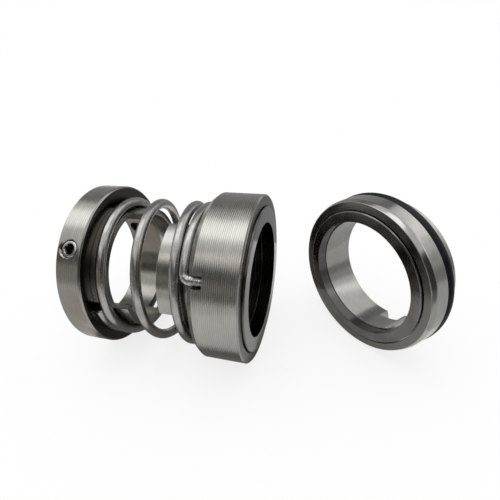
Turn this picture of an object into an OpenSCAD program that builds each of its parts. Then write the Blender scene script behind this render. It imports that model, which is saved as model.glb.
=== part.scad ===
// Component mechanical seal for a round shaft: a rotary unit with one coil spring, lying on its
// side along +X, and the stationary seat that runs against it, standing beside it on its rim.
// The origin is the middle of the shaft bore at the collar's back face. Both stand on one plane,
// the collar's radius below the shaft's axis. Angles are about the shaft, from +Y towards +Z.

/* [Shaft] */
// Diameter of the shaft that the seal fits
shaft_d = 40; // [36:0.5:45]
// Radial clearance between the shaft and the drive collar
collar_fit = 0.02; // [0.01:0.01:0.05]
// Radial clearance between the shaft and the seal head
head_fit = 0.25; // [0.15:0.05:0.5]
// Radial clearance between the shaft and the seat
seat_fit = 0.3; // [0.15:0.05:0.6]

/* [Drive collar] */
// Length of the collar
collar_l = 9.4; // [8.8:0.1:14]
// Radial wall of the collar
collar_wall = 9.98; // [9.4:0.02:13]
// Bevel on both of the collar's outer edges
collar_bevel = 0.5; // [0.2:0.1:1]
// Radial wall of the hub that carries the claws
hub_wall = 2.3; // [1.8:0.1:3]
// Length of the hub's closed part in front of the collar
hub_l = 4.4; // [3:0.1:6]
// Length of the collar's claws past the hub
claw_l = 6.6; // [4:0.1:8]
// Angle that one claw of the collar spans
claw_arc = 80; // [60:1:84]
// Angle of the middle of the collar's first claw
claw_at = 48; // [0:1:90]
// Angle that the ramp under the spring's first turn spans
ramp_arc = 88; // [30:1:100]

/* [Set screws] */
// Diameter of a set screw
screw_d = 6; // [4:0.5:6]
// Length of a set screw
screw_l = 8; // [6.5:0.1:8.2]
// Radial clearance between a set screw and its hole
screw_fit = 0.04; // [0.02:0.01:0.08]
// Depth of a set screw's outer end below the collar's surface
screw_sunk = 0.45; // [0.3:0.05:0.8]
// Distance of the screws' row from the collar's back face
screw_from_back = 4.5; // [4:0.1:4.8]
// Width of the hex socket across its flats
socket_w = 3; // [2:0.1:3]
// Depth of the hex socket
socket_l = 3.4; // [2:0.1:4]
// Angle of the first set screw
screw_at = 138; // [130:1:146]

/* [Spring] */
// Diameter of the spring wire
wire_d = 3.5; // [2.8:0.1:3.8]
// Radial clearance between the spring and the hub and sleeve inside it
spring_fit = 0.35; // [0.25:0.05:0.6]
// Length of the spring from the collar's front face to the sleeve's flange
spring_l = 35.9; // [32:0.1:42]
// How much of the wire is ground away at the spring's cut end
spring_ground = 0.9; // [0.2:0.1:1.4]
// Angle of the spring's cut end
spring_start = 187; // [184:1:190]
// Angle by which the last open turn runs on past the tang
spring_late = 27; // [0:1:40]
// How far the open turns lean towards the head at the top
spring_lean = 0.8; // [0:0.1:1]
// Angle of the spring's tang
tang_at = 150; // [140:0.5:156]
// Gap between the tang's tip and the end of its notch
tang_gap = 0.7; // [0.3:0.1:1.5]

/* [Push sleeve] */
// Length of the sleeve's flange
sleeve_flange_l = 1.8; // [1.2:0.1:2.5]
// Length of the sleeve's claws
sleeve_claw_l = 8; // [6:0.1:9]
// Length of the sleeve's closed part behind its flange
sleeve_back_l = 4.5; // [3:0.1:6]
// Length of the sleeve's nose past the tang's notch
sleeve_nose_l = 0.3; // [0.2:0.1:1]
// Angle that one claw of the sleeve spans
sleeve_claw_arc = 86; // [60:1:88]
// Angle between a claw of the sleeve and the middle of the collar's gap
sleeve_claw_turn = 5; // [0:1:5]

/* [Head shell] */
// Length of the shell
head_l = 16.4; // [15:0.1:24]
// Radial wall of the shell's rim round the face ring
rim_wall = 4; // [3.4:0.1:6]
// How far the sleeve's flange stands out of the shell's back
flange_out = 0.9; // [0.4:0.1:1.1]
// Radial size of the bevel at the shell's back
back_bevel = 1.6; // [0.8:0.1:2.6]
// Length of the bevel at the shell's back
back_bevel_l = 2; // [0.5:0.1:3]
// Bevel at the shell's front
front_bevel = 0.5; // [0.2:0.1:1]
// Length of the notch that takes the spring's tang, from the flange's back face
notch_l = 5.9; // [5:0.1:7]
// Width of the notch that takes the spring's tang
notch_w = 5.5; // [4.6:0.1:7]

/* [Face rings] */
// Radial wall of the rotating face ring
face_wall = 5.35; // [4.6:0.05:6]
// Length of the rotating face ring
face_l = 4.9; // [3.5:0.1:5.5]
// How far the rotating face ring stands out of its shell
face_proud = 0.8; // [0.3:0.1:1.2]
// Radial wall of the seat's face ring
seat_face_wall = 3.7; // [2.6:0.1:4]
// Length of the seat's face ring
seat_face_l = 3.7; // [2.5:0.1:4.5]
// How far the seat's face ring stands out of its holder
seat_face_proud = 0.5; // [0.2:0.1:0.9]
// Width of the open groove round each face ring
gap_w = 0.4; // [0.2:0.05:0.6]
// Depth of the open groove round each face ring
gap_l = 1.2; // [0.5:0.1:1.5]

/* [Rubber rings] */
// Section of the shaft's rubber ring
shaft_ring_d = 3.5; // [2.5:0.1:3.5]
// Radial clearance between the shaft and its rubber ring as fitted
shaft_ring_fit = 0; // [0:0.01:0.1]
// Section of the seat's rubber ring
seat_ring_d = 3.6; // [2.8:0.1:4]
// How far the seat's rubber ring stands out past the seat's flange
seat_ring_proud = 0.23; // [0.1:0.01:0.6]

/* [Seat] */
// Length of the seat's holder
seat_l = 15.2; // [14.5:0.1:20]
// Length of the seat's front flange
flange_l = 6.6; // [5.5:0.1:7]
// Radial wall of the seat's flange
flange_wall = 7.6; // [7:0.05:9]
// Radial size of the bevel at the seat's front
seat_bevel = 0.6; // [0.2:0.1:1]
// Length of the bevel at the seat's front
seat_bevel_l = 1.7; // [0.5:0.1:3]
// Width of the notch that keeps the seat from turning
stop_w = 7.8; // [5:0.1:10]
// Depth of the notch that keeps the seat from turning
stop_l = 4.3; // [3:0.1:4.6]
// Angle of that notch, from the seat's side towards +Z
stop_at = -110; // [-120:1:-95]

/* [Layout] */
// Distance along the shaft from the rotating face to the middle of the seat's front
seat_ahead = 32.4; // [28:0.1:60]
// Distance sideways from the shaft's axis to the middle of the seat's front
seat_aside = 10.1; // [6:0.1:16]
// Angle between the seat's axis and the shaft's axis
seat_yaw = 47.5; // [40:0.5:55]

/* [Hidden] */
$fn = 96;
cut = 1;             // how far a cutting shape runs past what it cuts
tiny = 0.05;         // gap left between the spring and its two seats
edge = 0.3;          // small edge break on turned parts
tang_fit = 0.15;     // clearance between the tang and the low side of its notch
shaft_r = shaft_d / 2;

screw_n = 3;
collar_bore_r = shaft_r + collar_fit;
collar_r = collar_bore_r + collar_wall;
hub_r = collar_bore_r + hub_wall;
hub_end = collar_l + hub_l;
claw_end = hub_end + claw_l;

screw_r = screw_d / 2;
hole_r = screw_r + screw_fit;
hole_mouth = 0.35;   // bevel at the mouth of a screw's hole
screw_out = collar_r - screw_sunk;
screw_bevel = 0.4;
cup_r = screw_r / 2;
cup_l = 0.7;
socket_bevel = 0.25;

// The wire's middle starts at wire_x0 and ends at wire_x1. The first turn lies closed on the
// collar, the open turns climb evenly, and the last turn rests on the flange by its tang.
wire_r = wire_d / 2;
wire_mid_r = hub_r + spring_fit + wire_r;
flange_x = collar_l + spring_l;
wire_x0 = collar_l + tiny + wire_r - spring_ground;
wire_x1 = flange_x - tiny - wire_r;
turn_x = wire_d + tiny;
spring_end = tang_at + 4 * 360;
lift_at = spring_start + 360;
close_at = spring_end - 360 + spring_late;
low_slope = turn_x / 360;
open_slope = (wire_x1 - turn_x - wire_x0 - turn_x) / (spring_end - 360 - lift_at);
close_x = wire_x0 + turn_x + open_slope * (close_at - lift_at);
high_slope = (wire_x1 - close_x) / (spring_end - close_at);
soften = 20;         // half of the angle over which the slope changes
bend_r = wire_r + 0.25;  // radius of the bend from the coil into the tang
bend_angle = asin(bend_r / wire_mid_r);
wire_sides = 16;
wire_step = 7;
bend_steps = 6;
ramp_gap = 0.3;      // gap between the ramp and the spring's first turn
ramp_end = spring_start - 8;

// The shell's inside, from the back: a counterbore for the flange, the bore round the sleeve's
// nose and the rubber ring, a shoulder, and the socket of the face ring
sleeve_bore_r = shaft_r + head_fit;
head_back = flange_x + flange_out;
head_front = head_back + head_l;
face_r = sleeve_bore_r + face_wall;
head_r = face_r + rim_wall;
face_front = head_front + face_proud;
face_back = face_front - face_l;
flange_lip = 0.55;   // how far the flange reaches out past the wire's middle
flange_fit = 0.25;   // radial gap round the flange
flange_gap = 0.1;    // gap in front of the flange
flange_r = wire_mid_r + flange_lip;
rim_in_r = flange_r + flange_fit;
rim_in_l = sleeve_flange_l - flange_out + flange_gap;
shaft_ring_in = shaft_r + shaft_ring_fit;
ring_seat_r = shaft_ring_in + shaft_ring_d + tiny;
ring_room = 0.7;     // length left free beside the shaft's rubber ring
ring_seat_l = shaft_ring_d + ring_room;

nose_fit = 0.2;      // radial gap round the sleeve's nose
sleeve_r = hub_r;
sleeve_nose_r = ring_seat_r - nose_fit;
sleeve_back = flange_x - sleeve_back_l;
sleeve_claw_end = sleeve_back - sleeve_claw_l;
sleeve_claw_at = claw_at + 90 + sleeve_claw_turn;
sleeve_front = flange_x + notch_l + sleeve_nose_l;
ring_x = sleeve_front + ring_seat_l / 2;
notch_floor = min(hub_r + 0.1, sleeve_nose_r - 0.1);
notch_low = wire_r + tang_fit;

seat_bore_r = shaft_r + seat_fit;
seat_step = 0.3;     // how far the seat's face ring stands back from the holder's bore
seat_face_bore_r = seat_bore_r + seat_step;
seat_face_r = seat_face_bore_r + seat_face_wall;
seat_r = seat_bore_r + flange_wall;
seat_ring_r = seat_r + seat_ring_proud;
seat_neck_r = seat_ring_r - seat_ring_d;
seat_ring_x = flange_l + tiny + seat_ring_d / 2;
seat_socket_l = seat_face_l - seat_face_proud;

steel = [0.72, 0.71, 0.69];
wire_steel = [0.78, 0.77, 0.75];
screw_steel = [0.55, 0.54, 0.52];
carbide = [0.28, 0.28, 0.30];
rubber = [0.07, 0.08, 0.09];

// Lays a shape made along +Z along +X, so that its angles count from +Y towards +Z
module along_x() { rotate([90, 0, 90]) children(); }

// A turned part, from its outline as points of radius and distance along the shaft
module turned(outline) { along_x() rotate_extrude() polygon(outline); }

// The space from one angle over an arc, all the way out, between two places along the shaft
module wedge(x0, x1, from, arc) {
    along_x() translate([0, 0, x0]) linear_extrude(x1 - x0)
        polygon([[0, 0], each [for (k = [0 : 4]) 2 * collar_r * [cos(from + arc * k / 4),
                                                                 sin(from + arc * k / 4)]]]);
}

// Part of a ring with a square section, from one angle over an arc
module ring_part(r0, r1, x0, x1, from, arc) {
    along_x() rotate([0, 0, from]) rotate_extrude(angle = arc)
        translate([r0, x0]) square([r1 - r0, x1 - x0]);
}

// Places a shape made along +Z so that it points out from the shaft at an angle
module outwards(x, angle) { translate([x, 0, 0]) rotate([angle - 90, 0, 0]) children(); }

// Places the seat, made along +X from its front face, where it stands
module seat_place() {
    translate([face_front + seat_ahead, seat_aside, seat_ring_r - collar_r])
        rotate([0, 0, seat_yaw]) children();
}

function screw_angle(i) = screw_at + i * 360 / screw_n;

module screw_hole(i) {
    outwards(screw_from_back, screw_angle(i)) {
        translate([0, 0, shaft_r - 4]) cylinder(r = hole_r, h = collar_wall + 4 + cut);
        translate([0, 0, collar_r - hole_mouth - 0.15])
            cylinder(r1 = hole_r, r2 = hole_r + hole_mouth + cut, h = hole_mouth + cut);
    }
}

// Ramp that backs the spring's first turn: a low ring part, cut by a plane that rises with the wire
module spring_ramp() {
    from = ramp_end - ramp_arc;
    middle = ramp_end - ramp_arc / 2;
    height = wire_x(middle + 360) - wire_r - ramp_gap - collar_l;
    slant = atan(low_slope * 180 / PI / wire_mid_r);
    difference() {
        ring_part(hub_r - edge, wire_mid_r, collar_l - edge, collar_l + 2 * height, from, ramp_arc);
        outwards(collar_l + height, middle) rotate([0, 0, slant])
            translate([0, -2 * collar_r, 0]) cube([wire_d, 4 * collar_r, collar_r]);
    }
}

// Shaft collar: a turned body with a hub, two claws and the ramp under the spring
module drive_collar() color(steel) difference() {
    union() {
        turned([[collar_bore_r, 0], [collar_r - collar_bevel, 0], [collar_r, collar_bevel],
                [collar_r, collar_l - collar_bevel], [collar_r - collar_bevel, collar_l],
                [hub_r, collar_l], [hub_r, claw_end], [collar_bore_r, claw_end]]);
        spring_ramp();
    }
    for (side = [0, 180])
        wedge(hub_end, claw_end + cut, claw_at + claw_arc / 2 + side, 180 - claw_arc);
    for (i = [0 : screw_n - 1]) screw_hole(i);
}

// Set screw with a hex socket and a cup point
module set_screw(i) color(screw_steel) outwards(screw_from_back, screw_angle(i)) difference() {
    translate([0, 0, screw_out - screw_l]) union() {
        cylinder(r1 = screw_r - screw_bevel, r2 = screw_r, h = screw_bevel);
        translate([0, 0, screw_bevel]) cylinder(r = screw_r, h = screw_l - 2 * screw_bevel);
        translate([0, 0, screw_l - screw_bevel])
            cylinder(r1 = screw_r, r2 = screw_r - screw_bevel, h = screw_bevel);
    }
    translate([0, 0, screw_out - socket_l])
        cylinder(d = socket_w / cos(30), h = socket_l + cut, $fn = 6);
    translate([0, 0, screw_out - socket_bevel])
        cylinder(r1 = socket_w / 2, r2 = socket_w / 2 + socket_bevel + cut, h = socket_bevel + cut);
    translate([0, 0, screw_out - screw_l - cut])
        cylinder(r1 = cup_r + cut, r2 = cup_r - cup_l, h = cup_l + cut);
}
module set_screw_1() { set_screw(0); }
module set_screw_2() { set_screw(1); }
module set_screw_3() { set_screw(2); }

// Zero before a, then a straight rise of one for one, with the corner rounded
function rise(s, a) = s <= a - soften ? 0
    : s >= a + soften ? s - a
    : pow(s - a + soften, 2) / (4 * soften);

// From 0 at a to 1 at b, smoothly
function smooth(s, a, b) = s <= a ? 0 : s >= b ? 1
    : pow((s - a) / (b - a), 2) * (3 - 2 * (s - a) / (b - a));

// Share of the lean at angle s: none in the closed turns, all of it half a turn away from them
function lean_at(s) = smooth(s, lift_at, lift_at + 180) * (1 - smooth(s, close_at - 90, close_at + 90));

// Distance along the shaft of the wire's middle at angle s
function wire_x(s) = wire_x0 + low_slope * (s - spring_start)
    + (open_slope - low_slope) * rise(s, lift_at)
    + (high_slope - open_slope) * rise(s, close_at)
    + spring_lean * sin(s) * lean_at(s);

// A point of the coil, and the directions outwards and along the coil there
function coil_point(s) = [wire_x(s), wire_mid_r * cos(s), wire_mid_r * sin(s)];
function outward(s) = [0, cos(s), sin(s)];
function onward(s) = [0, -sin(s), cos(s)];

// The points round the wire at p, in the plane of the directions u and v
function wire_ring(p, u, v) = [for (k = [0 : wire_sides - 1]) let (a = k * 360 / wire_sides)
    p + wire_r * (cos(a) * u + sin(a) * v)];

// Compression spring of round wire: a closed turn that is ground flat on the collar's side, open
// turns, a last turn on the flange, and an end bent along the shaft into the notch
module spring() {
    bend_at = spring_end - bend_angle;
    bend_from = coil_point(bend_at);
    turns = [for (s = [spring_start : wire_step : bend_at - wire_step / 2])
        wire_ring(coil_point(s), outward(s), [-1, 0, 0])];
    bend = [for (k = [0 : bend_steps]) let (a = 90 * k / bend_steps)
        wire_ring(bend_from + bend_r * (sin(a) * onward(bend_at) + (1 - cos(a)) * [1, 0, 0]),
                  outward(bend_at), -cos(a) * [1, 0, 0] + sin(a) * onward(bend_at))];
    tip_x = flange_x + notch_l - tang_gap;
    tip = [wire_ring([tip_x, bend_from[1], bend_from[2]] + bend_r * onward(bend_at),
                     outward(bend_at), onward(bend_at))];
    rings = concat(turns, bend, tip);
    n = wire_sides;
    last = len(rings) - 1;
    sides = [for (i = [0 : last - 1], k = [0 : n - 1])
        [i * n + k, i * n + (k + 1) % n, (i + 1) * n + (k + 1) % n, (i + 1) * n + k]];
    first_cap = [for (k = [0 : n - 1]) n - 1 - k];
    last_cap = [for (k = [0 : n - 1]) last * n + k];
    color(wire_steel) difference() {
        polyhedron([for (r = rings) each r], concat(sides, [first_cap, last_cap]), convexity = 10);
        translate([collar_l + tiny - 2 * wire_d, -collar_r, -collar_r])
            cube([2 * wire_d, 2 * collar_r, 2 * collar_r]);
    }
}

// The space of the tang, from just below it to the notch's upper side
module tang_notch() {
    outwards(flange_x, tang_at) translate([-cut, -notch_low, notch_floor])
        cube([notch_l + cut, notch_w, head_r - notch_floor + cut]);
}

// Sleeve with two claws inside the spring, a flange that the spring pushes and a nose that presses
// the shaft's rubber ring
module push_sleeve() color(steel) difference() {
    turned([[sleeve_bore_r, sleeve_claw_end], [sleeve_r, sleeve_claw_end], [sleeve_r, flange_x],
            [flange_r, flange_x], [flange_r, flange_x + sleeve_flange_l],
            [sleeve_nose_r, flange_x + sleeve_flange_l], [sleeve_nose_r, sleeve_front],
            [sleeve_bore_r, sleeve_front]]);
    for (side = [0, 180])
        wedge(sleeve_claw_end - cut, sleeve_back, sleeve_claw_at + sleeve_claw_arc / 2 + side,
              180 - sleeve_claw_arc);
    tang_notch();
}

// Rubber ring that seals the head on the shaft
module shaft_o_ring() color(rubber) along_x() rotate_extrude()
    translate([shaft_ring_in + shaft_ring_d / 2, ring_x])
        circle(d = shaft_ring_d, $fn = 48);

// Turned shell that holds the face ring, the rubber ring and the sleeve
module head_shell() color(steel) difference() {
    turned([[rim_in_r, head_back], [head_r - back_bevel, head_back],
            [head_r, head_back + back_bevel_l], [head_r, head_front - front_bevel],
            [head_r - front_bevel, head_front], [face_r + gap_w, head_front],
            [face_r + gap_w, head_front - gap_l], [face_r, head_front - gap_l],
            [face_r, face_back], [sleeve_bore_r, face_back],
            [sleeve_bore_r, sleeve_front + ring_seat_l], [ring_seat_r, sleeve_front + ring_seat_l],
            [ring_seat_r, head_back + rim_in_l], [rim_in_r, head_back + rim_in_l]]);
    tang_notch();
}

// Carbide ring with the rotating sealing face
module rotary_face_ring() color(carbide) turned(
    [[sleeve_bore_r, face_back], [face_r, face_back], [face_r, face_front - edge],
     [face_r - edge, face_front], [sleeve_bore_r, face_front]]);

// Turned holder of the stationary seat: a flange with a socket for the face ring, a neck for the
// rubber ring, and a notch in its back end that keeps it from turning
module seat_holder() color(steel) seat_place() difference() {
    turned([[seat_bore_r, seat_socket_l], [seat_face_r, seat_socket_l], [seat_face_r, gap_l],
            [seat_face_r + gap_w, gap_l], [seat_face_r + gap_w, 0], [seat_r - seat_bevel, 0],
            [seat_r, seat_bevel_l], [seat_r, flange_l], [seat_neck_r, flange_l],
            [seat_neck_r, seat_l - edge], [seat_neck_r - edge, seat_l], [seat_bore_r, seat_l]]);
    outwards(seat_l - stop_l, stop_at) translate([0, -stop_w / 2, seat_bore_r / 2])
        cube([stop_l + cut, stop_w, seat_neck_r]);
}

// Carbide ring with the stationary sealing face
module seat_face_ring() color(carbide) seat_place() turned(
    [[seat_face_bore_r, -seat_face_proud], [seat_face_r - edge, -seat_face_proud],
     [seat_face_r, edge - seat_face_proud], [seat_face_r, seat_socket_l],
     [seat_face_bore_r, seat_socket_l]]);

// Rubber ring that seals the seat in its housing
module seat_o_ring() color(rubber) seat_place() along_x() rotate_extrude()
    translate([seat_ring_r - seat_ring_d / 2, seat_ring_x]) circle(d = seat_ring_d, $fn = 48);

drive_collar();
set_screw_1();
set_screw_2();
set_screw_3();
spring();
push_sleeve();
shaft_o_ring();
head_shell();
rotary_face_ring();
seat_holder();
seat_face_ring();
seat_o_ring();
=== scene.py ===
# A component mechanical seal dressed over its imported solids: the rotary unit on its side, the seat on its rim.
# Shapes are worked out in millimetres, in the frame of the solids, and scaled to metres when a piece is finished.
import bmesh
import bpy
import numpy as np
from mathutils import Matrix, Vector


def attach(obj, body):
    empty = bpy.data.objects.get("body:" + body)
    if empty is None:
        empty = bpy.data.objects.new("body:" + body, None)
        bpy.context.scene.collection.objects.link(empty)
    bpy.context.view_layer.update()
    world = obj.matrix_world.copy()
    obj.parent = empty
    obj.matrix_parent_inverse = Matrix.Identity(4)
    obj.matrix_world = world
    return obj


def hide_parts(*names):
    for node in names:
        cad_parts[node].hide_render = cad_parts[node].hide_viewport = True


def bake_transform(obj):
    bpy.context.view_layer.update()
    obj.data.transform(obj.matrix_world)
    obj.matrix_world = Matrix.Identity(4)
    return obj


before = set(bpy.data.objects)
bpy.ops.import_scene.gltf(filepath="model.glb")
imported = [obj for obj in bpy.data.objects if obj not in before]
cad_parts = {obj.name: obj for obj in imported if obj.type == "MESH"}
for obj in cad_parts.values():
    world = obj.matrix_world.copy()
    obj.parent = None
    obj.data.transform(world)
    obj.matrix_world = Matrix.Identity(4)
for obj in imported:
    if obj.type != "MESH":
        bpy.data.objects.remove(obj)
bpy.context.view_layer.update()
mm = 0.001  # in metres
scene = bpy.context.scene
print("solids:", sorted(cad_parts))


# Camera
# fitted to the rings of both units; focal length and centre are in pixels of a 500 pixel frame
shot = {"place": (88.851, -106.373, 78.762), "right": (0.94946, 0.30317, -0.0814),
        "up": (-0.11544, 0.57835, 0.80758), "ahead": (-0.29191, 0.75736, -0.58411),
        "focal": 378.92, "centre": (222.0, 282.5), "pixels": 500.0, "sensor": 36.0, "clip": (0.002, 50.0)}


def setCamera():
    data = bpy.data.cameras.new("shot")
    data.sensor_width = shot["sensor"]
    data.lens = shot["sensor"] * shot["focal"] / shot["pixels"]
    data.shift_x = 0.5 - shot["centre"][0] / shot["pixels"]
    data.shift_y = shot["centre"][1] / shot["pixels"] - 0.5
    data.clip_start, data.clip_end = shot["clip"]
    camera = bpy.data.objects.new("shot", data)
    scene.collection.objects.link(camera)
    back = [-value for value in shot["ahead"]]
    axes = Matrix((shot["right"], shot["up"], back)).transposed().to_4x4()
    camera.matrix_world = Matrix.Translation(Vector(shot["place"]) * mm) @ axes
    scene.camera = camera


setCamera()
print("camera set")


# Shader maths: a signal is one output of a node, and a sum or product with it adds a Math node
class Signal:
    def __init__(self, finish, socket):
        self.finish, self.socket = finish, socket

    def math(self, operation, *values):
        return self.finish.node("ShaderNodeMath", {"operation": operation}, values)

    def __add__(self, other):
        return self.math("ADD", self, other)

    def __sub__(self, other):
        return self.math("SUBTRACT", self, other)

    def __rsub__(self, other):
        return self.math("SUBTRACT", other, self)

    def __mul__(self, other):
        return self.math("MULTIPLY", self, other)

    def __truediv__(self, other):
        return self.math("DIVIDE", self, other)

    def __rtruediv__(self, other):
        return self.math("DIVIDE", other, self)

    def __pow__(self, other):
        return self.math("POWER", self, other)

    def clipped(self, low, high):  # 0 at low, 1 at high, straight between them
        return self.finish.node("ShaderNodeMapRange", {"clamp": True},
                                {"Value": self, "From Min": low, "From Max": high})

    __radd__ = __add__
    __rmul__ = __mul__


# A material as it is built; node() makes any node from its type, its settings and its inputs
class Finish:
    def __init__(self, name, world=None):
        self.owner = world or bpy.data.materials.new(name)
        self.owner.use_nodes = True
        self.tree = self.owner.node_tree
        self.tree.nodes.clear()

    def node(self, kind, settings=None, inputs=(), output=0):
        made = self.tree.nodes.new(kind)
        for key, value in (settings or {}).items():
            setattr(made, key, value)
        for key, value in (inputs.items() if isinstance(inputs, dict) else enumerate(inputs)):
            if isinstance(value, Signal):
                self.tree.links.new(value.socket, made.inputs[key])
            else:
                made.inputs[key].default_value = value
        return Signal(self, made.outputs[output])

    def mixed(self, share, first, second):  # colours only
        colours = [value if isinstance(value, Signal) else (*value, 1.0) for value in (first, second)]
        return self.node("ShaderNodeMix", {"data_type": "RGBA"}, {0: share, 6: colours[0], 7: colours[1]}, 2)

    def point(self, place=(0, 0, 0), yaw=0.0):  # Object coordinates in millimetres, centred and turned
        here = self.node("ShaderNodeTexCoord", {}, (), "Object")
        local = self.node("ShaderNodeMapping", {"vector_type": "TEXTURE"},
                          {"Vector": here, "Location": [mm * value for value in place],
                           "Rotation": (0, 0, np.radians(yaw))})
        return self.node("ShaderNodeVectorMath", {"operation": "SCALE"}, {"Vector": local, "Scale": 1 / mm})

    def parts(self, vector):
        split = self.node("ShaderNodeSeparateXYZ", {}, [vector])
        return [Signal(self, socket) for socket in split.socket.node.outputs]

    def joined(self, x, y, z):
        return self.node("ShaderNodeCombineXYZ", {}, [x, y, z])

    def noise(self, vector, scale=1.0, detail=2.0, rough=0.5, fourth=None):
        settings = {"noise_dimensions": "4D" if fourth is not None else "3D"}
        inputs = {"Vector": vector, "Scale": scale, "Detail": detail, "Roughness": rough}
        if fourth is not None:
            inputs["W"] = fourth
        return self.node("ShaderNodeTexNoise", settings, inputs)

    def bump(self, height, strength, distance):
        return self.node("ShaderNodeBump", {}, {"Height": height, "Strength": strength, "Distance": distance})

    def ended(self, shader, kind="ShaderNodeOutputMaterial"):
        self.tree.links.new(shader.socket, self.tree.nodes.new(kind).inputs[0])
        return self.owner

    def surface(self, inputs):
        return self.ended(self.node("ShaderNodeBsdfPrincipled", {}, inputs))

    def glow(self, strength, tint=(1.0, 1.0, 1.0)):
        return self.node("ShaderNodeEmission", {}, {"Color": tuple(strength * value for value in tint) + (1.0,)})

    def mirrored(self):  # which rays show the white ground: the camera's, and those that metal or glass sends on
        path = self.node("ShaderNodeLightPath")
        rays = {socket.name: Signal(self, socket) for socket in path.socket.node.outputs}
        sent = rays["Is Glossy Ray"].math("MAXIMUM", rays["Is Glossy Ray"], rays["Is Transmission Ray"])
        return rays["Is Camera Ray"], sent


# Turned metal: the tool's feed leaves an even groove, a cosine of the place along the outline, whose depth drifts;
# over it lie finer rings, streaks round the axis and clouds of wear. Zones between two places along the shaft and
# two radii, such as cut faces and the inside, get painted light: painted shade, or painted highlight where lighter.
def turnedMetal(name, look, place=(0, 0, 0), yaw=0.0):
    finish = Finish(name)
    point = finish.point(place, yaw)
    x, y, z = finish.parts(point)
    radius = (y * y + z * z) ** 0.5
    across, up = y / radius, z / radius
    outline = x + radius
    rings = finish.noise(finish.joined(x * look["ringsPerMm"], radius * look["ringsPerMm"], across * 0.6),
                         1.0, 3.0, 0.6, up * 0.6)
    streaks = finish.noise(finish.joined(x * 1.1, radius * 1.1, across * 9.0), 1.0, 3.0, 0.6, up * 9.0)
    drift = finish.noise(finish.joined(x * 0.22, across * 1.4, up * 1.4), 1.0, 2.0, 0.5)
    clouds = finish.noise(point, 0.11, 4.0, 0.55)
    specks = finish.noise(point, 1.9, 3.0, 0.6)
    turns = (outline - look["feedFrom"]) * (2 * np.pi / look["feed"]) + (rings - 0.5) * look["feedStray"]
    wave = turns.math("COSINE", turns) * 0.5 + 0.5
    depth = drift.clipped(0.28, 0.62) * 0.6 + 0.4
    shade = finish.mixed((clouds * 0.55 + streaks * 0.45).clipped(0.33, 0.67), look["dark"], look["light"])
    shade = finish.mixed(wave * depth * look["feedShade"], shade, look["groove"])
    shade = finish.mixed(rings.clipped(0.42, 0.2) * look["ringShade"], shade, look["groove"])
    shade = finish.mixed(specks.clipped(0.66, 0.74) * look["stain"], shade, look["stainColour"])
    # painted light: each listed zone is mixed towards its painted shade or painted highlight colour
    for low, high, inner, outer, share, colour in look["paintedLightZones"]:
        paintedZone = (x.clipped(low, low + 0.02) * (1 - x.clipped(high, high + 0.02))
                * radius.clipped(inner, inner + 0.02) * (1 - radius.clipped(outer, outer + 0.02)))
        shade = finish.mixed(paintedZone * share, shade, colour)
    rough = ((rings - 0.5) * look["roughSpread"] + (clouds - 0.5) * 0.12 + (streaks - 0.5) * 0.08
             + wave * look["feedRough"] + look["rough"])
    normal = finish.bump(rings * look["ringDepth"] + streaks * look["streakDepth"] - wave * depth * look["feedDepth"],
                         1.0, mm)
    return finish.surface({"Base Color": shade, "Metallic": 1.0, "Roughness": rough, "Normal": normal})


# Drawn wire: long faint draw marks, by the wire's own map (u along it, v round it), and burrs where it was bent
def drawnWire(name, look, burredFrom):
    finish = Finish(name)
    u, v, _ = finish.parts(finish.node("ShaderNodeUVMap", {"uv_map": "wire"}))
    point = finish.point()
    lines = finish.noise(finish.joined(u * 0.35, v * 26.0, 0.0), 1.0, 3.0, 0.65)
    marks = finish.noise(finish.joined(u * 2.2, v * 5.0, 4.0), 1.0, 4.0, 0.6)
    clouds = finish.noise(point, 0.16, 3.0, 0.5)
    shade = finish.mixed(clouds.clipped(0.35, 0.65), look["dark"], look["light"])
    shade = finish.mixed(lines.clipped(0.45, 0.25) * 0.3, shade, look["groove"])
    burred = u.clipped(burredFrom, burredFrom + 1.5)
    nicks = finish.noise(finish.joined(u * 2.6, v * 7.0, 9.0), 1.0, 3.0, 0.7)
    shade = finish.mixed(burred * nicks.clipped(0.52, 0.6) * 0.8, shade, look["nick"])
    shade = finish.mixed(burred * nicks.clipped(0.44, 0.36) * 0.7, shade, look["groove"])
    rough = (marks - 0.5) * 0.12 + (lines - 0.5) * 0.1 + look["rough"]
    normal = finish.bump(lines * 0.006 + marks * 0.01 + burred * nicks * 0.16, 1.0, mm)
    return finish.surface({"Base Color": shade, "Metallic": 1.0, "Roughness": rough, "Normal": normal})


# Lapped carbide: dark and even, with a fine grain of lighter points, and painted shade inside its bore
def lappedCarbide(name, look, place=(0, 0, 0), yaw=0.0):
    finish = Finish(name)
    point = finish.point(place, yaw)
    grain = finish.noise(point, 9.0, 3.0, 0.7)
    clouds = finish.noise(point, 0.14, 3.0, 0.5)
    shade = finish.mixed(grain.clipped(0.35, 0.7), look["dark"], look["light"])
    shade = finish.mixed(clouds.clipped(0.4, 0.7) * 0.35, shade, look["cloud"])
    _, y, z = finish.parts(point)
    # painted shade: inside the bore radius the colour is mixed towards the inside colour
    bore = ((y * y + z * z) ** 0.5).clipped(look["bore"] + 0.2, look["bore"])
    shade = finish.mixed(bore * 0.85, shade, look["inside"])
    rough = (grain - 0.5) * 0.08 + (clouds - 0.5) * 0.1 + look["rough"]
    normal = finish.bump(grain * 0.003, 1.0, mm)
    return finish.surface({"Base Color": shade, "Metallic": look["metal"], "Roughness": rough, "Normal": normal})


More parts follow.
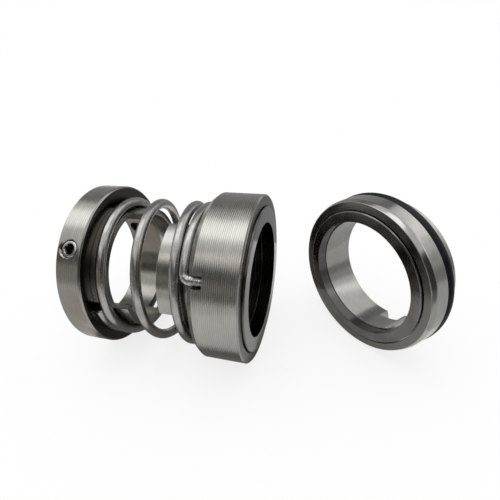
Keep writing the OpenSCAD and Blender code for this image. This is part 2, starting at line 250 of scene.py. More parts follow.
# Moulded rubber: near black, with a soft bloom and a slight orange peel
def mouldedRubber(name, look):
    finish = Finish(name)
    point = finish.point()
    peel = finish.noise(point, 2.6, 3.0, 0.55)
    bloom = finish.noise(point, 0.3, 4.0, 0.6)
    shade = finish.mixed(bloom.clipped(0.45, 0.72) * 0.6, look["dark"], look["bloom"])
    rough = (peel - 0.5) * 0.12 + bloom * 0.14 + look["rough"]
    normal = finish.bump(peel * 0.02, 1.0, mm)
    return finish.surface({"Base Color": shade, "Metallic": 0.0, "Roughness": rough, "Normal": normal,
                           "Specular IOR Level": 0.2})


# Corners of an outline, each replaced by a short parabola that starts and ends a given way from it
def softened(outline, reach, steps=3):
    corners = np.array(outline, float)
    before, after = np.roll(corners, 1, 0) - corners, np.roll(corners, -1, 0) - corners
    longBefore, longAfter = np.linalg.norm(before, axis=1), np.linalg.norm(after, axis=1)
    reach = np.minimum(reach, 0.45 * np.minimum(longBefore, longAfter))
    start = corners + before * (reach / longBefore)[:, None]
    end = corners + after * (reach / longAfter)[:, None]
    t = np.linspace(0, 1, steps + 1)[None, :, None]
    curve = (1 - t) ** 2 * start[:, None] + 2 * t * (1 - t) * corners[:, None] + t ** 2 * end[:, None]
    return curve.reshape(-1, 2)


# A mesh from a grid of points [row, column], with the rows, the columns or neither joined end to end.
# Where rows aren't joined, the first and the last row may get a flat cap. The map is the u of each row and the v of
# each column and one more; a cap takes its row's u.
def gridMesh(name, points, rowsJoin=True, columnsJoin=True, caps=False, uv=None):
    rows, columns = points.shape[:2]
    i = np.arange(rows if rowsJoin else rows - 1)[:, None]
    j = np.arange(columns if columnsJoin else columns - 1)[None, :]
    nextRow, nextColumn = (i + 1) % rows, (j + 1) % columns
    quads = np.stack([i * columns + j, i * columns + nextColumn,
                      nextRow * columns + nextColumn, nextRow * columns + j], -1).reshape(-1, 4)
    flat = points.reshape(-1, 3)
    a, b, c, d = (flat[quads[:, k]] for k in range(4))
    ab, ac, ad = b - flat[0], c - flat[0], d - flat[0]
    volume = np.einsum("ij,ij->", a - flat[0], np.cross(ab, ac) + np.cross(ac, ad))
    faces = quads.tolist()
    if caps:
        faces += [list(range(columns - 1, -1, -1)), list(range((rows - 1) * columns, rows * columns))]
    mesh = bpy.data.meshes.new(name)
    mesh.from_pydata(flat.tolist(), [], faces)
    if uv:
        u, v = uv
        corners = np.stack([np.stack(np.broadcast_arrays(u[i + down], v[j + right]), -1)
                            for down, right in ((0, 0), (0, 1), (1, 1), (1, 0))], 2).reshape(-1, 2)
        ends = [np.tile([[u[row], 0.5]], (columns, 1)) for row in (0, -1)] if caps else []
        place = np.concatenate([corners, *ends]).astype(np.float32)
        mesh.uv_layers.new(name="wire").data.foreach_set("uv", place.ravel())
    if volume < 0:
        mesh.flip_normals()
    mesh.update()
    made = bpy.data.objects.new(name, mesh)
    scene.collection.objects.link(made)
    return made


# A turned surface: the outline's points (radius, place along X) carried round the shaft, angles from +Y to +Z
def turnedPiece(name, outline, columns=240):
    outline = np.array(outline, float)
    angle = np.linspace(0, 2 * np.pi, columns, endpoint=False)
    radius, along = outline[:, :1], outline[:, 1:]
    return gridMesh(name, np.stack([along + 0 * angle, radius * np.cos(angle), radius * np.sin(angle)], -1))


# Several meshes in one object: the others' points and faces are added to the first
def together(first, *others):
    meshes = [first.data] + [other.data for other in others]
    points, faces, offset = [], [], 0
    for mesh in meshes:
        place = np.empty(len(mesh.vertices) * 3)
        mesh.vertices.foreach_get("co", place)
        points.append(place.reshape(-1, 3))
        faces += [[offset + v for v in face.vertices] for face in mesh.polygons]
        offset += len(mesh.vertices)
    joined = bpy.data.meshes.new(first.name)
    joined.from_pydata(np.concatenate(points).tolist(), [], faces)
    joined.update()
    first.data = joined
    for other in others:
        bpy.data.objects.remove(other)
    return first


# Cuts the cutters out of a piece, exactly, and drops them
def cutOut(piece, *cutters):
    for cutter in cutters:
        cut = piece.modifiers.new("cut", "BOOLEAN")
        cut.operation, cut.solver, cut.object = "DIFFERENCE", "EXACT", cutter
    result = bpy.data.meshes.new_from_object(piece.evaluated_get(bpy.context.evaluated_depsgraph_get()))
    piece.modifiers.clear()
    piece.data = result
    for cutter in cutters:
        bpy.data.objects.remove(cutter)
    return piece


# A closed box between two corners, as a grid of four rows round it with both ends capped
def boxCutter(low, high):
    (x0, y0, z0), (x1, y1, z1) = low, high
    ring = np.array([[y0, z0], [y1, z0], [y1, z1], [y0, z1]], float)
    points = np.stack([np.column_stack([np.full(4, x), ring]) for x in (x0, x1)])
    made = gridMesh("cutter", points, rowsJoin=False, caps=True)
    return recalculated(made)


# Turns every face of a closed piece outwards, after joining points that lie closer than a distance
def recalculated(piece, joined=None):
    work = bmesh.new()
    work.from_mesh(piece.data)
    if joined:
        bmesh.ops.remove_doubles(work, verts=work.verts, dist=joined)
    bmesh.ops.recalc_face_normals(work, faces=work.faces)
    work.to_mesh(piece.data)
    work.free()
    return piece


# The space between two angles and two places along the shaft, from its axis out to a reach
def wedgeCutter(x0, x1, start, arc, reach=60.0, lines=7):
    angle = np.radians(start + np.linspace(0, arc, lines))
    ring = np.vstack([[0.0, 0.0], np.column_stack([reach * np.cos(angle), reach * np.sin(angle)])])
    points = np.stack([np.column_stack([np.full(len(ring), x), ring]) for x in (x0, x1)])
    return recalculated(gridMesh("cutter", points, rowsJoin=False, caps=True))


# Scales a piece to metres, shades it, gives it its finish and its body, and hides the solid it stands for
def finished(piece, material, body, node, sharp=32.0, weighted=True):
    piece.data.transform(piece.matrix_world)
    piece.matrix_world = Matrix.Identity(4)
    piece.data.transform(Matrix.Scale(mm, 4))
    piece.data.shade_smooth()
    piece.data.set_sharp_from_angle(angle=np.radians(sharp))
    piece.data.materials.clear()
    piece.data.materials.append(material)
    if weighted:
        even = piece.modifiers.new("even", "WEIGHTED_NORMAL")
        even.keep_sharp, even.weight = True, 60
    if body:
        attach(piece, body)
    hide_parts(node)
    return piece


# Drive collar
collar = {"bore": 20.02, "radius": 29.985, "length": 9.4, "bevel": 0.5, "hub": 22.32, "hubEnd": 13.8,
          "clawEnd": 20.4, "clawArc": 80.0, "clawAt": 48.0, "screwRow": 4.5, "screwAngles": (138.0, 258.0, 18.0),
          "hole": 3.04, "holeFrom": 15.0, "mouth": 0.4, "mouthSunk": 0.15, "past": 0.85, "pole": 0.001,
          "soft": (0.25, 0.12, 0.12, 0.12, 0.12, 0.1, 0.3, 0.3), "columns": 288, "holeColumns": 64,
          "cutPast": 2.0,
          "look": {"ringsPerMm": 3.2, "dark": (0.31, 0.304, 0.283), "light": (0.40, 0.392, 0.366),
                   "groove": (0.15, 0.14, 0.128), "ringShade": 0.4, "stain": 0.12, "stainColour": (0.12, 0.09, 0.07),
                   "feed": 0.8, "feedFrom": 39.5, "feedStray": 0.9, "feedShade": 0.34, "feedDepth": 0.004,
                   # painted light: painted shade on the collar's back face, a painted highlight on the ramp, painted
                   # shade in the bore
                   "feedRough": 0.04, "paintedLightZones": ((9.37, 9.46, 22.0, 29.55, 0.94, (0.045, 0.038, 0.032)),
                                                (9.5, 16.0, 22.6, 25.0, 0.9, (0.80, 0.78, 0.74)),
                                                (-0.5, 14.0, 19.0, 20.7, 0.45, (0.15, 0.135, 0.118))),
                   "rough": 0.21, "roughSpread": 0.16, "ringDepth": 0.006, "streakDepth": 0.003}}
# the spring's settings stand here because the ramp follows its first turn
spring = {"wire": 1.75, "coil": 24.42, "start": 187.0, "end": 150.0 + 1440.0, "lift": 547.0, "close": 1257.0,
          "firstX": 10.3, "lastX": 43.5, "firstRise": 3.55, "openSlope": 26.1 / 683.0, "soften": 20.0,
          "lean": 0.8, "leanIn": 180, "leanOut": 90, "ground": 9.45, "bend": 2.0, "bendRows": 14, "tip": 50.5,
          "tangRows": 12, "step": 2.5, "sides": 28, "burred": 8.5, "cutLong": 0.08, "cutEdge": 0.09,
          "tipLong": (0.35, 0.1), "tipEdge": (0.12, 0.4),
          "look": {"dark": (0.31, 0.302, 0.286), "light": (0.41, 0.402, 0.386),
                   "groove": (0.13, 0.122, 0.11), "nick": (0.85, 0.84, 0.81), "rough": 0.25}}


# Place along the shaft of the wire's middle: a slow climb in the first turn, a steady climb in the open turns,
# a slow one in the last, each change rounded off, plus a lean towards the head at the top of the open turns
def wireX(s):
    def rise(a):
        r = spring["soften"]
        return np.where(s <= a - r, 0.0, np.where(s >= a + r, s - a, (s - a + r) ** 2 / (4 * r)))

    def smooth(a, b):
        t = np.clip((s - a) / (b - a), 0, 1)
        return t * t * (3 - 2 * t)

    lowSlope = spring["firstRise"] / 360
    closeX = spring["firstX"] + spring["firstRise"] + spring["openSlope"] * (spring["close"] - spring["lift"])
    highSlope = (spring["lastX"] - closeX) / (spring["end"] - spring["close"])
    lean = (smooth(spring["lift"], spring["lift"] + spring["leanIn"])
            * (1 - smooth(spring["close"] - spring["leanOut"], spring["close"] + spring["leanOut"])))
    return (spring["firstX"] + lowSlope * (s - spring["start"])
            + (spring["openSlope"] - lowSlope) * rise(spring["lift"])
            + (highSlope - spring["openSlope"]) * rise(spring["close"])
            + spring["lean"] * np.sin(np.radians(s)) * lean)


# Carries +X, a turned shape's own axis, to point out from the shaft at an angle and a place along it
def outwardTurned(along, angle):
    a = np.radians(angle)
    axes = Matrix(((0, 0, 1), (np.cos(a), -np.sin(a), 0), (np.sin(a), np.cos(a), 0)))
    return Matrix.Translation((along, 0, 0)) @ axes.to_4x4()


ramp = {"from": 91.0, "to": 179.0, "rows": 60, "inner": 22.0, "outer": 24.42, "edge": 0.12, "sunk": 0.3, "room": 0.3}


# The ramp under the spring's first turn: a square section carried round the hub, as high as the wire leaves room
def makeRamp():
    r = ramp
    angle = np.radians(np.linspace(r["from"], r["to"], r["rows"]))[:, None]
    height = wireX(np.degrees(angle) + 360.0) - spring["wire"] - r["room"]
    # each corner of the section: its radius, how far it is moved along the shaft, and 1 for the upper ones
    radius, offset, lifted = np.array([(r["inner"], -r["sunk"], 0), (r["outer"], -r["sunk"], 0),
                                       (r["outer"], -r["edge"], 1), (r["outer"] - r["edge"], 0.0, 1),
                                       (r["inner"], 0.0, 1)]).T
    along = np.where(lifted > 0, height, collar["length"]) + offset
    points = np.stack([along, radius * np.cos(angle), radius * np.sin(angle)], -1)
    return recalculated(gridMesh("ramp", points, rowsJoin=False, caps=True))


# The collar: its outline turned round the shaft, less two wedges that leave the claws and three screw holes, each a
# narrow outline turned round its own axis; the ramp is joined on
def makeCollar():
    c = collar
    r, l, b = c["radius"], c["length"], c["bevel"]
    outline = softened([(c["bore"], 0), (r - b, 0), (r, b), (r, l - b), (r - b, l), (c["hub"], l),
                        (c["hub"], c["clawEnd"]), (c["bore"], c["clawEnd"])],
                       c["soft"])
    body = turnedPiece("driveCollar", outline, c["columns"])
    gap = 180.0 - c["clawArc"]
    cutters = [wedgeCutter(c["hubEnd"], c["clawEnd"] + c["cutPast"], c["clawAt"] + c["clawArc"] / 2 + side, gap)
               for side in (0.0, 180.0)]
    for angle in c["screwAngles"]:
        flare = c["mouth"] + c["mouthSunk"] + c["past"]  # the mouth goes on at 45 degrees past the wall
        hole = turnedPiece("cutter", [(c["pole"], c["holeFrom"]), (c["hole"], c["holeFrom"]),
                                      (c["hole"], r + c["past"] - flare), (c["hole"] + flare, r + c["past"]),
                                      (c["pole"], r + c["past"])], c["holeColumns"])
        hole.data.transform(outwardTurned(c["screwRow"], angle))
        cutters.append(hole)
    cutOut(body, *cutters)
    together(body, makeRamp())
    finished(body, turnedMetal("collarSteel", c["look"]), "drive", "drive_collar")


makeCollar()
print("collar made")


# Set screws
screw = {"outer": 29.55, "length": 8.0, "radius": 3.0, "bevel": 0.42, "socket": 3.0, "deep": 3.4, "mouth": 0.55,
         "cup": 1.5, "cupDeep": 0.7, "pitch": 1.0, "thread": 0.28, "threadRows": 60, "fade": 1.2, "columns": 96,
         "mouthWide": (0.44, 0.52), "mouthDeep": 0.08, "merge": 0.0005, "rim": (0.1, 0.04), "fadePast": 0.2,
         "drillDeep": 0.5, "drillWide": 0.96, "drillEdge": 0.15, "cupPoint": 0.2,
         "look": {"ringsPerMm": 2.5, "dark": (0.36, 0.345, 0.32), "light": (0.62, 0.60, 0.565),
                  "groove": (0.1, 0.09, 0.08), "ringShade": 0.3, "stain": 0.3, "stainColour": (0.1, 0.08, 0.06),
                  "feed": 0.9, "feedFrom": 0.0, "feedStray": 3.0, "feedShade": 0.1, "feedDepth": 0.002,
                  # painted shade: the socket and the thread below the screw's top are mixed near black
                  "feedRough": 0.02, "paintedLightZones": ((-1.0, 10.0, 10.0, 29.4, 0.92, (0.05, 0.044, 0.038)),),
                  "rough": 0.22, "roughSpread": 0.1, "ringDepth": 0.006, "streakDepth": 0.008}}


# A socket set screw: rows carried round its axis. The socket's rows have a hexagon's radius, half the width
# across flats over the cosine of the angle from the nearest flat; the thread is a sine along and round the axis.
def makeScrew(index, angle):
    s = screw
    turn = np.linspace(0, 2 * np.pi, s["columns"], endpoint=False)
    flat = (np.degrees(turn) + 30.0) % 60.0 - 30.0
    hexagon = s["socket"] / 2 / np.cos(np.radians(flat))
    full, top, bottom, chamfer = np.ones_like(turn), s["outer"], s["outer"] - s["length"], s["radius"] - s["bevel"]
    mouth = [np.maximum(hexagon, s["socket"] / 2 + wide) for wide in s["mouthWide"]]
    rows = [(0.0 * full, top - s["deep"] - s["drillDeep"]), (hexagon * s["drillWide"], top - s["deep"]),
            (hexagon, top - s["deep"] + s["drillEdge"]), (hexagon, top - s["mouth"]),
            (mouth[0], top - s["mouthDeep"]), (mouth[1], top),
            (full * (chamfer - s["rim"][0]), top), (full * chamfer, top - s["rim"][1])]
    for along in np.linspace(top - s["bevel"], bottom + s["bevel"], s["threadRows"]):
        wave = 0.5 - 0.5 * np.cos(2 * np.pi * along / s["pitch"] - turn)
        ends = min(1.0, (along - bottom) / s["fade"]) * min(1.0, (top - along + s["fadePast"]) / s["fade"])
        rows.append((s["radius"] - s["thread"] * wave ** 2 * ends, along))
    rows += [(full * chamfer, bottom), (full * s["cup"], bottom),
             (full * (s["cup"] - s["cupDeep"]), bottom + s["cupDeep"]),
             (0.0 * full, bottom + s["cupDeep"] + s["cupPoint"])]
    radius = np.array([row[0] for row in rows])
    along = np.array([row[1] for row in rows])[:, None] + 0 * turn
    points = np.stack([along, radius * np.cos(turn), radius * np.sin(turn)], -1)
    made = recalculated(gridMesh("setScrew%d" % (index + 1), points, rowsJoin=False), s["merge"])
    made.data.transform(outwardTurned(collar["screwRow"], angle))
    finished(made, screwSteel, "screw_%d" % (index + 1), "set_screw_%d" % (index + 1), 28.0)


screwSteel = turnedMetal("screwSteel", screw["look"])
for index, angle in enumerate(collar["screwAngles"]):
    makeScrew(index, angle)
print("set screws made")


# Spring
# A round section carried along the coil, then round a short bend and along the shaft into the tang. Each point
# is the path's point plus the wire's radius times cos v outwards from the shaft and sin v square to both.
def makeSpring():
    p = spring
    bendAt = p["end"] - np.degrees(np.arcsin(p["bend"] / p["coil"]))
    s = np.append(np.arange(p["start"], bendAt - p["step"] / 2, p["step"]), bendAt)
    t = np.radians(s)
    coil = np.column_stack([wireX(s), p["coil"] * np.cos(t), p["coil"] * np.sin(t)])
    outward = np.column_stack([0 * t, np.cos(t), np.sin(t)])
    tangent = np.gradient(coil, axis=0)
    out, on = outward[-1], np.array([0, -np.sin(t[-1]), np.cos(t[-1])])
    turn = np.radians(np.linspace(0, 90, p["bendRows"]))[1:, None]
    bend = coil[-1] + p["bend"] * (np.sin(turn) * on + (1 - np.cos(turn)) * np.array([1.0, 0, 0]))
    far = bend[-1] + np.array([[p["tip"] - bend[-1][0], 0, 0]]) * np.linspace(0.1, 1, p["tangRows"])[:, None]
    path = np.concatenate([coil, bend, far])
    tangent = np.concatenate([tangent[:-1], np.gradient(np.concatenate([coil[-1:], bend]), axis=0),
                              np.tile([1.0, 0, 0], (len(far), 1))])
    tangent /= np.linalg.norm(tangent, axis=1)[:, None]
    outward = np.concatenate([outward, np.tile(out, (len(bend) + len(far), 1))])
    outward -= (outward * tangent).sum(1)[:, None] * tangent
    outward /= np.linalg.norm(outward, axis=1)[:, None]
    side = np.cross(tangent, outward)
    # the two ends: a filed edge at the cut, a rounder one at the tang's tip
    path = np.concatenate([path[:1], path[:1] + p["cutLong"] * tangent[:1], path[1:-1],
                           path[-1:] - [[p["tipLong"][0], 0, 0]], path[-1:] - [[p["tipLong"][1], 0, 0]], path[-1:]])
    outward, side = (np.concatenate([rows[:1], rows[:1], rows[1:-1], rows[-1:], rows[-1:], rows[-1:]])
                     for rows in (outward, side))
    size = np.full(len(path), p["wire"])
    size[0] -= p["cutEdge"]
    size[-2:] -= p["tipEdge"]
    v = np.pi + np.linspace(0, 2 * np.pi, p["sides"], endpoint=False)  # the seam lies on the inside
    points = (path[:, None] + size[:, None, None] * (np.cos(v)[None, :, None] * outward[:, None]
                                                     + np.sin(v)[None, :, None] * side[:, None]))
    rows = len(coil)
    points[:rows + 1, :, 0] = np.maximum(points[:rows + 1, :, 0], p["ground"])
    length = np.concatenate([[0], np.cumsum(np.linalg.norm(np.diff(path, axis=0), axis=1))])
    made = gridMesh("coilSpring", points, rowsJoin=False, caps=True, uv=(length, np.linspace(0, 1, p["sides"] + 1)))
    finished(made, drawnWire("springWire", p["look"], length[-1] - p["burred"]), None, "spring", 50.0, False)
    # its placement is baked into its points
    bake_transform(made)


makeSpring()
print("spring made")


# Push sleeve
head = {"bore": 20.25, "back": 46.2, "front": 62.6, "radius": 29.6, "backBevel": 1.6, "backLength": 2.0,
        "bevel": 0.5, "rim": 25.22, "rimEnd": 47.2, "ringBore": 23.55, "ringEnd": 55.7, "faceBack": 58.5,
        "face": 25.6, "gap": 0.4, "gapDeep": 1.2, "faceFront": 63.4, "pitch": 0.64, "groove": 0.06,
        "tang": 150.0, "notchFloor": 22.42, "notchLow": 1.9, "notchWide": 5.5, "notchEnd": 51.2, "stepFloor": 27.3,
        "stepFrom": 1.95, "flange": 45.3, "cutPast": 3.0, "cutBefore": 2.0, "columns": 256, "perPitch": 6,
        "backEdges": ((-0.1, 0.0), (0.08, 0.1), (-0.12, -0.15), (0.0, 0.1)), "wallGaps": (0.2, 0.1),
        "soft": (0.12, 0.1, 0.05, 0.05, 0.05, 0.15, 0.15, 0.1, 0.15, 0.1, 0.2),
        "look": {"ringsPerMm": 3.6, "dark": (0.34, 0.333, 0.309), "light": (0.43, 0.421, 0.392),
                 "groove": (0.12, 0.112, 0.102), "ringShade": 0.2, "stain": 0.08, "stainColour": (0.12, 0.09, 0.07),
                 "feed": 0.64, "feedFrom": 78.27, "feedStray": 0.3, "feedShade": 0.38, "feedDepth": 0.0,
                 "feedRough": 0.03,
                 # painted shade: the shell's front face and its inside are mixed near black
                 "paintedLightZones": ((62.57, 63.4, 20.0, 29.15, 0.94, (0.034, 0.031, 0.028)),
                           (52.0, 62.57, 19.0, 25.9, 0.9, (0.03, 0.028, 0.026))),
                 "rough": 0.21, "roughSpread": 0.12, "ringDepth": 0.005, "streakDepth": 0.003}}
sleeve = {"clawEnd": 32.8, "back": 40.8, "radius": 22.32, "flangeRadius": 24.97, "flangeEnd": 47.1, "nose": 23.35,
          "front": 51.5, "clawArc": 86.0, "clawAt": 143.0, "soft": 0.22, "columns": 240, "cutBefore": 1.0,
          "look": {**head["look"], "dark": (0.31, 0.304, 0.283), "light": (0.40, 0.392, 0.366), "feed": 0.5,
                   "feedShade": 0.15, "feedDepth": 0.002,
                   # painted shade: the sleeve's bore is mixed near black
                   "paintedLightZones": ((45.3, 60.0, 19.0, 20.6, 0.9, (0.03, 0.028, 0.026)),)}}


# The notch for the tang, as a box that is turned to the tang's angle
def notchCutter(start, upper, floor):
    made = boxCutter((start, -head["notchLow"], floor), (head["notchEnd"], upper, head["radius"] + head["cutPast"]))
    made.data.transform(Matrix.Rotation(np.radians(head["tang"] - 90.0), 4, "X"))
    return made


# The sleeve: its outline turned round the shaft, less two wedges that leave the claws and the tang's notch
def makeSleeve():
    s = sleeve
    outline = softened([(head["bore"], s["clawEnd"]), (s["radius"], s["clawEnd"]), (s["radius"], head["flange"]),
                        (s["flangeRadius"], head["flange"]), (s["flangeRadius"], s["flangeEnd"]),
                        (s["nose"], s["flangeEnd"]), (s["nose"], s["front"]), (head["bore"], s["front"])], s["soft"])
    body = turnedPiece("pushSleeve", outline, s["columns"])
    gap = 180.0 - s["clawArc"]
    cutters = [wedgeCutter(s["clawEnd"] - s["cutBefore"], s["back"], s["clawAt"] + s["clawArc"] / 2 + side, gap)
               for side in (0.0, 180.0)]
    cutters.append(notchCutter(head["flange"] - s["cutBefore"], head["notchWide"] - head["notchLow"],
                               head["notchFloor"]))
    cutOut(body, *cutters)
    finished(body, turnedMetal("sleeveSteel", s["look"]), "head", "push_sleeve")


makeSleeve()
print("push sleeve made")


# Head shell
# A straight bevel at the back, its corners a little rounded, then a wall of shallow scallops, each the arc that a
# round-nosed tool leaves in one turn of feed, so the radius is the wall's less a parabola of the place in the pitch
def makeShell():
    h = head
    bevelEnd = h["back"] + h["backLength"]
    corners = [[h["radius"] - h["backBevel"], h["back"]], [h["radius"], bevelEnd]]
    back = np.repeat(corners, 2, 0) + h["backEdges"]
    along = np.arange(bevelEnd + h["wallGaps"][0], h["front"] - h["bevel"] - h["wallGaps"][1],
                      h["pitch"] / h["perPitch"])
    within = ((along - along[0]) / h["pitch"]) % 1.0
    wall = np.column_stack([h["radius"] - h["groove"] * (1 - (2 * within - 1) ** 2), along])
    inside = softened([(h["radius"] - h["bevel"], h["front"]), (h["face"] + h["gap"], h["front"]),
                       (h["face"] + h["gap"], h["front"] - h["gapDeep"]), (h["face"], h["front"] - h["gapDeep"]),
                       (h["face"], h["faceBack"]), (h["bore"], h["faceBack"]), (h["bore"], h["ringEnd"]),
                       (h["ringBore"], h["ringEnd"]), (h["ringBore"], h["rimEnd"]), (h["rim"], h["rimEnd"]),
                       (h["rim"], h["back"])], h["soft"])
    outline = np.vstack([back, wall, [[h["radius"], h["front"] - h["bevel"]]], inside])
    body = turnedPiece("headShell", outline, h["columns"])
    # the tang lies in a deep lane, with a shallow step above it
    start = h["back"] - h["cutBefore"]
    cutOut(body, notchCutter(start, h["stepFrom"], h["notchFloor"]),
           notchCutter(start, h["notchWide"] - h["notchLow"], h["stepFloor"]))
    finished(body, turnedMetal("shellSteel", h["look"]), "head", "head_shell", 40.0)


makeShell()
print("head shell made")


# Face ring and shaft ring
faceRing = {"edge": 0.3, "soft": (0.1, 0.1, 0.1, 0.1, 0.14), "columns": 240,
            "look": {"dark": (0.10, 0.097, 0.093), "light": (0.19, 0.185, 0.178), "cloud": (0.25, 0.244, 0.234),
                     # inside and bore: painted shade in the bore, below the bore radius
                     "inside": (0.11, 0.106, 0.102), "bore": 20.3, "metal": 1.0, "rough": 0.15}}
shaftRing = {"section": 3.5, "middle": 21.75, "x": 53.6, "columns": 200,
             "look": {"dark": (0.004, 0.0045, 0.006), "bloom": (0.010, 0.012, 0.018), "rough": 0.34}}


# The section of a rubber ring: a circle of points round its middle, half a section away from it
def rubberOutline(middle, x, section, sides=40):
    v = np.linspace(0, 2 * np.pi, sides, endpoint=False)
    return np.column_stack([middle + section / 2 * np.cos(v), x + section / 2 * np.sin(v)])


# The face ring: a flat section with a bevelled front edge, turned round the shaft; it fills the shell's mouth
def makeFaceRing():
    h, f = head, faceRing
    outline = softened([(h["bore"], h["faceBack"]), (h["face"], h["faceBack"]),
                        (h["face"], h["faceFront"] - f["edge"]), (h["face"] - f["edge"], h["faceFront"]),
                        (h["bore"], h["faceFront"])], f["soft"])
    finished(turnedPiece("rotaryFaceRing", outline, f["columns"]), lappedCarbide("rotaryCarbide", f["look"]),
             "head", "rotary_face_ring")


def makeShaftRing():
    r = shaftRing
    outline = rubberOutline(r["middle"], r["x"], r["section"])
    finished(turnedPiece("shaftRing", outline, r["columns"]), rubber, "head", "shaft_o_ring")


rubber = mouldedRubber("ringRubber", shaftRing["look"])
makeFaceRing()
makeShaftRing()
print("face ring and shaft ring made")


# Seat
seat = {"place": (95.8, 10.1, -1.87), "yaw": 47.5, "bore": 20.3, "faceBore": 20.6, "paintedShadeBore": 20.65,
        "face": 24.3, "gap": 0.4, "gapDeep": 1.2, "socket": 3.2, "proud": 0.5, "radius": 27.9, "bevel": 0.6,
        "bevelLength": 1.7, "flange": 6.6, "neck": 24.53, "length": 15.2, "edge": 0.3, "steps": 4,
        "soft": (0.1, 0.05, 0.05, 0.05, 0.12, 0.25, 0.5, 0.2, 0.15, 0.1, 0.1, 0.25),
        "faceSoft": (0.14, 0.1, 0.1, 0.1, 0.1),
        "stopWide": 7.8, "stopLong": 4.3, "stopAt": -110.0, "cutPast": (1.0, 8.0),
        "ringSection": 3.6, "ringRadius": 28.13, "ringX": 8.45, "columns": (288, 240, 240),
        "look": {"ringsPerMm": 3.4, "dark": (0.33, 0.325, 0.306), "light": (0.43, 0.423, 0.40),
                 "groove": (0.19, 0.183, 0.17), "ringShade": 0.35, "stain": 0.08, "stainColour": (0.12, 0.09, 0.07),
                 "feed": 0.45, "feedFrom": 28.0, "feedStray": 1.5, "feedShade": 0.15, "feedDepth": 0.002,
                 # painted shade: the front face round the face ring is mixed darker
                 "feedRough": 0.03, "paintedLightZones": ((-0.2, 0.05, 20.0, 27.25, 0.7, (0.08, 0.075, 0.068)),),
                 "rough": 0.16, "roughSpread": 0.12, "ringDepth": 0.004, "streakDepth": 0.003}}
seatMatrix = Matrix.Translation(seat["place"]) @ Matrix.Rotation(np.radians(seat["yaw"]), 4, "Z")


# The seat's holder and face ring: outlines turned round the seat's own axis, then carried to its place. A box cut
# out of the holder's end leaves its notch.
def makeSeat():
    s, edge = seat, seat["edge"]
    outline = softened([(s["bore"], s["socket"]), (s["face"], s["socket"]), (s["face"], s["gapDeep"]),
                        (s["face"] + s["gap"], s["gapDeep"]), (s["face"] + s["gap"], 0),
                        (s["radius"] - s["bevel"], 0), (s["radius"], s["bevelLength"]),
                        (s["radius"], s["flange"]), (s["neck"], s["flange"]), (s["neck"], s["length"] - edge),
                        (s["neck"] - edge, s["length"]), (s["bore"], s["length"])], s["soft"], s["steps"])
    body = turnedPiece("seatHolder", outline, s["columns"][0])
    stop = boxCutter((s["length"] - s["stopLong"], -s["stopWide"] / 2, s["bore"] / 2),
                     (s["length"] + s["cutPast"][0], s["stopWide"] / 2, s["neck"] + s["cutPast"][1]))
    stop.data.transform(Matrix.Rotation(np.radians(s["stopAt"] - 90.0), 4, "X"))
    cutOut(body, stop)
    body.data.transform(seatMatrix)
    finished(body, turnedMetal("seatSteel", s["look"], s["place"], s["yaw"]), "seat", "seat_holder", 40.0)
    outline = softened([(s["faceBore"], -s["proud"]), (s["face"] - edge, -s["proud"]),
                        (s["face"], edge - s["proud"]), (s["face"], s["socket"]), (s["faceBore"], s["socket"])],
                       s["faceSoft"])
    insert = turnedPiece("seatFaceRing", outline, s["columns"][1])
    insert.data.transform(seatMatrix)
    # the seat's face ring gets painted shade inside its bore
    carbide = lappedCarbide("seatCarbide", {**faceRing["look"], "bore": s["paintedShadeBore"]}, s["place"], s["yaw"])
    finished(insert, carbide, "seat", "seat_face_ring")
    outline = rubberOutline(s["ringRadius"] - s["ringSection"] / 2, s["ringX"], s["ringSection"])
    seal = turnedPiece("seatRing", outline, s["columns"][2])
    seal.data.transform(seatMatrix)
    finished(seal, rubber, "seat", "seat_o_ring")


makeSeat()
print("seat made")


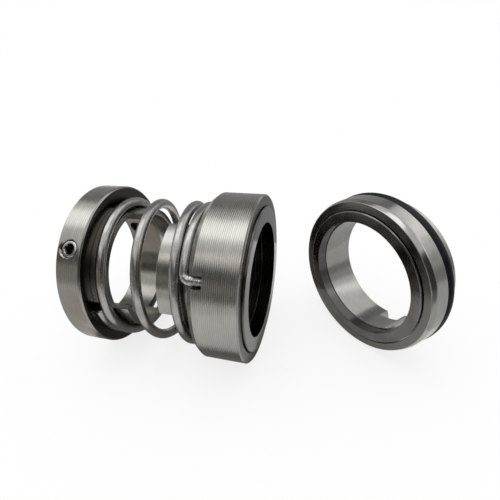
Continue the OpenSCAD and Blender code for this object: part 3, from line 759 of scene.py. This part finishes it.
# Floor and light
# The floor is white paper: the camera sees it nearly glowing, so its shadow is faint, and mirrored rays do so away
# from the units. The sky is brighter overhead than at its edge. Cards stand round the scene as in a studio and show
# only in what the metal mirrors; the dark level cards under the units and behind the seat are painted shadow. Each
# is flat: square to an azimuth with its reach to both sides and up, or level.
studio = {"floorZ": -30.0, "floorSize": 6000.0, "floorColour": (0.97, 0.97, 0.97), "floorGlow": 0.8,
          "floorMiddle": (45.0, 5.0), "floorNear": 70.0, "floorFar": 260.0,
          "skyLow": 0.03, "skyRise": 1.0, "key": 1.0, "keyAngle": 70.0,
          "keyFrom": (-0.05, -0.12, 1.0), "cool": (0.985, 0.992, 1.0), "warm": (1.0, 0.955, 0.90), "distance": 900.0,
          "standing": {"frontLeft": (255.0, (-1300, -275), (-28, 400), 0.45, "warm"),
                       "frontLow": (255.0, (-275, 1300), (-28, 225), 0.17, "warm"),
                       "frontMiddle": (255.0, (-275, 1300), (225, 400), 0.30, "warm"),
                       "frontHigh": (255.0, (-1300, 1300), (400, 880), 0.12, "warm"),
                       "frontTop": (255.0, (-450, -50), (1130, 1480), 3.2, "warm"),
                       "rightFront": (336.0, (-480, 280), (-28, 760), 0.06, "warm"),
                       "rightLow": (30.0, (-660, 560), (-28, 170), 0.33, "cool"),
                       "rightMiddle": (30.0, (-660, 560), (170, 400), 0.53, "cool"),
                       "rightHigh": (30.0, (-660, 560), (400, 590), 0.95, "cool"),
                       "rightTop": (30.0, (-660, 560), (590, 790), 1.7, "cool"),
                       "behindTop": (115.0, (-900, 450), (560, 1150), 0.25, "cool"),
                       "behind": (115.0, (-900, 450), (-28, 560), 0.36, "cool")},
          "level": {"overheadCard": (900.0, (-1000, 350), (-130, 340), 2.35, "cool"),
                    # painted shadow: dark cards under the rotary unit and the collar put their contact shadow into
                    # what the metal mirrors
                    "paintedShadowUnderUnit": (-29.5, (-4, 66), (-33, 33), 0.18, "warm"),
                    "paintedShadowUnderCollar": (-29.5, (-34, -4), (-36, 36), 0.6, "warm"),
                    "leftFloor": (-29.6, (-300, -10), (-300, -28), 0.66, "warm"),
                    # painted shadow: a dark card behind the seat puts its contact shadow into what the metal mirrors
                    "paintedShadowBehindSeat": (-29.5, (100, 134), (24, 74), 0.55, "cool"),
                    "rightFloor": (-29.0, (135, 1400), (-60, 75), 0.65, "cool"),
                    "rightFrontFloor": (-29.0, (135, 1400), (-400, -60), 0.2, "cool"),
                    "backFloor": (-29.0, (-200, 1400), (75, 1000), 0.36, "cool")}}


def makeFloor():
    edge = np.linspace(-studio["floorSize"], studio["floorSize"], 9)
    points = np.stack(np.meshgrid(edge, edge, [studio["floorZ"]], indexing="ij"), -1)[:, :, 0]
    floor = gridMesh("floor", points, rowsJoin=False, columnsJoin=False)
    floor.data.transform(Matrix.Scale(mm, 4))
    if floor.data.polygons[0].normal.z < 0:
        floor.data.flip_normals()
    finish = Finish("floorPaper")
    point = finish.point((*studio["floorMiddle"], 0))
    x, y, _ = finish.parts(point)
    grain = finish.noise(point, 0.4, 2.0, 0.5)
    shade = finish.mixed(grain.clipped(0.3, 0.7), studio["floorColour"], [v * 1.01 for v in studio["floorColour"]])
    paper = finish.node("ShaderNodeBsdfPrincipled", {},
                        {"Base Color": shade, "Roughness": 0.9, "Specular IOR Level": 0.0})
    camera, sent = finish.mirrored()
    away = ((x * x + y * y) ** 0.5).clipped(studio["floorNear"], studio["floorFar"])
    share = camera.math("MAXIMUM", camera, sent * away) * studio["floorGlow"]
    both = finish.node("ShaderNodeMixShader", {}, [share, paper, finish.glow(1.0)])
    floor.data.materials.append(finish.ended(both))


# A flat card from a grid of its width and height, glowing and seen only by mirrored rays
def makeCard(name, points, strength, tint):
    card = gridMesh(name, mm * points, rowsJoin=False, columnsJoin=False)
    finish = Finish(name)
    card.data.materials.append(finish.ended(finish.glow(strength, studio[tint])))
    card.visible_camera = card.visible_diffuse = card.visible_shadow = card.visible_transmission = False


def makeCards():
    far = studio["distance"]
    for name, (azimuth, width, height, strength, tint) in studio["standing"].items():
        a = np.radians(azimuth)
        w, z = np.meshgrid(np.linspace(*width, 5), np.linspace(*height, 5), indexing="ij")
        points = np.stack([far * np.cos(a) - w * np.sin(a), far * np.sin(a) + w * np.cos(a), z], -1)
        makeCard(name, points, strength, tint)
    for name, (height, width, depth, strength, tint) in studio["level"].items():
        x, y = np.meshgrid(np.linspace(*width, 5), np.linspace(*depth, 5), indexing="ij")
        makeCard(name, np.stack([x, y, height + 0 * x], -1), strength, tint)


def makeLight():
    key = bpy.data.lights.new("overhead", "SUN")
    key.energy, key.angle = studio["key"], np.radians(studio["keyAngle"])
    lamp = bpy.data.objects.new("overhead", key)
    scene.collection.objects.link(lamp)
    lamp.visible_glossy = False
    lamp.rotation_euler = Vector(studio["keyFrom"]).to_track_quat("Z", "Y").to_euler()
    scene.world = bpy.data.worlds.new("studio")
    finish = Finish("studio", scene.world)
    _, _, height = finish.parts(finish.node("ShaderNodeTexCoord", {}, (), "Generated"))
    sky = height.math("MAXIMUM", height, 0.0) * studio["skyRise"] + studio["skyLow"]
    camera, sent = finish.mirrored()
    white = camera.math("MAXIMUM", camera, sent)
    backdrop = finish.node("ShaderNodeBackground", {}, {"Strength": white + sky * (1 - white)})
    backdrop.socket.node.inputs["Color"].default_value = (1.0, 1.0, 1.0, 1.0)
    finish.ended(backdrop, "ShaderNodeOutputWorld")


makeFloor()
makeCards()
makeLight()
scene.view_settings.view_transform = "Standard"
print("floor and light made")
